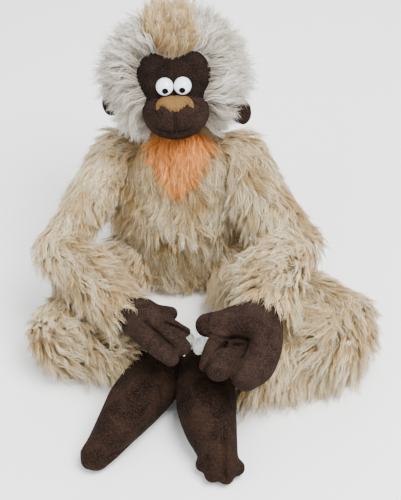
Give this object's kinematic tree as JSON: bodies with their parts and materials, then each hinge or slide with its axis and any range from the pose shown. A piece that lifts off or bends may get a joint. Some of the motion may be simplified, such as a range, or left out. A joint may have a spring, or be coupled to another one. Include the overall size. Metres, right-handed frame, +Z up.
{
  "type": "stuffed monkey",
  "caption": "Long-limbed stuffed monkey with shaggy fur, plush face, hands and feet and domed eyes; sits on a flat weighted seat; neck and limbs turn at their sewn joints.",
  "frame": {"origin": "middle of the flat seat panel, on the surface that the monkey sits on", "axes": "+Z up, the monkey faces -Y, its right hand side is -X"},
  "size_m": [0.3356, 0.395, 0.2997],
  "materials": {
    "fur_cream": "long shaggy pile, cream tips over golden tan",
    "fur_white": "long soft pile, grey white",
    "fur_tan": "long pile, golden tan",
    "fur_orange": "wavy pile, orange",
    "plush_brown": "short dark brown plush with lighter flecks",
    "plush_nose": "short tan plush",
    "fibre_fill": "white polyester fibre",
    "canvas": "plain woven cotton",
    "thread": "matte stitched thread",
    "fastener_cloth": "pale hook and loop tape",
    "eye_white": "glossy moulded dome",
    "eye_black": "glossy black",
    "washer": "plain locking washer"
  },
  "bodies": {
    "torso": {"torso_fur": "fur_cream", "throat_patch": "fur_orange", "torso_stuffing": "fibre_fill", "bean_bag": "canvas", "seat_panel": "canvas"},
    "head": {"head_fur": "fur_white", "brow_panel": "plush_brown", "muzzle": "plush_brown", "nose_patch": "plush_nose", "mouth_stitch": "thread", "head_stuffing": "fibre_fill", "eye_right": "eye_white", "pupil_right": "eye_black", "eye_washer_right": "washer", "eye_left": "eye_white", "pupil_left": "eye_black", "eye_washer_left": "washer", "ear_right": "plush_brown", "ear_left": "plush_brown", "crest_strip": "fur_tan"},
    "right_upper_arm": {"upper_arm_fur_right": "fur_cream", "upper_arm_stuffing_right": "fibre_fill"},
    "right_forearm": {"forearm_fur_right": "fur_cream", "forearm_stuffing_right": "fibre_fill"},
    "right_hand": {"hand_right": "plush_brown", "hand_stuffing_right": "fibre_fill", "hand_patch_right": "fastener_cloth"},
    "right_thigh": {"thigh_fur_right": "fur_cream", "thigh_stuffing_right": "fibre_fill"},
    "right_shin": {"shin_fur_right": "fur_cream", "shin_stuffing_right": "fibre_fill"},
    "right_foot": {"foot_right": "plush_brown", "foot_stuffing_right": "fibre_fill"},
    "left_upper_arm": {"upper_arm_fur_left": "fur_cream", "upper_arm_stuffing_left": "fibre_fill"},
    "left_forearm": {"forearm_fur_left": "fur_cream", "forearm_stuffing_left": "fibre_fill"},
    "left_hand": {"hand_left": "plush_brown", "hand_stuffing_left": "fibre_fill", "hand_patch_left": "fastener_cloth"},
    "left_thigh": {"thigh_fur_left": "fur_cream", "thigh_stuffing_left": "fibre_fill"},
    "left_shin": {"shin_fur_left": "fur_cream", "shin_stuffing_left": "fibre_fill"},
    "left_foot": {"foot_left": "plush_brown", "foot_stuffing_left": "fibre_fill"}
  },
  "joints": [
    {"name": "neck_turn", "type": "hinge", "parent": "torso", "child": "head", "pos_m": [-0.003, 0.034, 0.226], "axis": [0, 0, 1], "range_deg": [-35, 35]},
    {"name": "shoulder_raise_right", "type": "hinge", "parent": "torso", "child": "right_upper_arm", "pos_m": [-0.064, 0.014, 0.147], "axis": [-1, 0, 0], "range_deg": [0, 70]},
    {"name": "elbow_open_right", "type": "hinge", "parent": "right_upper_arm", "child": "right_forearm", "pos_m": [-0.113, -0.081, 0.102], "axis": [0, 0, -1], "range_deg": [0, 60]},
    {"name": "wrist_open_right", "type": "hinge", "parent": "right_forearm", "child": "right_hand", "pos_m": [-0.05, -0.159, 0.096], "axis": [0, 0, -1], "range_deg": [0, 25]},
    {"name": "hip_open_right", "type": "hinge", "parent": "torso", "child": "right_thigh", "pos_m": [-0.052, -0.026, 0.036], "axis": [0, 0, -1], "range_deg": [0, 20]},
    {"name": "knee_open_right", "type": "hinge", "parent": "right_thigh", "child": "right_shin", "pos_m": [-0.113, -0.134, 0.036], "axis": [0, 0, -1], "range_deg": [0, 50]},
    {"name": "ankle_lift_right", "type": "hinge", "parent": "right_shin", "child": "right_foot", "pos_m": [-0.04687, -0.1588, 0.03049], "axis": [-0.9335, 0.3501, 0.0778], "range_deg": [0, 25]},
    {"name": "shoulder_raise_left", "type": "hinge", "parent": "torso", "child": "left_upper_arm", "pos_m": [0.064, 0.014, 0.147], "axis": [-1, 0, 0], "range_deg": [0, 70]},
    {"name": "elbow_open_left", "type": "hinge", "parent": "left_upper_arm", "child": "left_forearm", "pos_m": [0.112, -0.076, 0.108], "axis": [0, 0, 1], "range_deg": [0, 60]},
    {"name": "wrist_open_left", "type": "hinge", "parent": "left_forearm", "child": "left_hand", "pos_m": [0.086, -0.163, 0.1], "axis": [0, 0, 1], "range_deg": [0, 25]},
    {"name": "hip_open_left", "type": "hinge", "parent": "torso", "child": "left_thigh", "pos_m": [0.052, -0.026, 0.036], "axis": [0, 0, 1], "range_deg": [0, 20]},
    {"name": "knee_open_left", "type": "hinge", "parent": "left_thigh", "child": "left_shin", "pos_m": [0.162, -0.126, 0.044], "axis": [0, 0, 1], "range_deg": [0, 50]},
    {"name": "ankle_lift_left", "type": "hinge", "parent": "left_shin", "child": "left_foot", "pos_m": [0.05891, -0.16321, 0.0316], "axis": [-0.9347, -0.3373, -0.1124], "range_deg": [0, 25]}
  ]
}
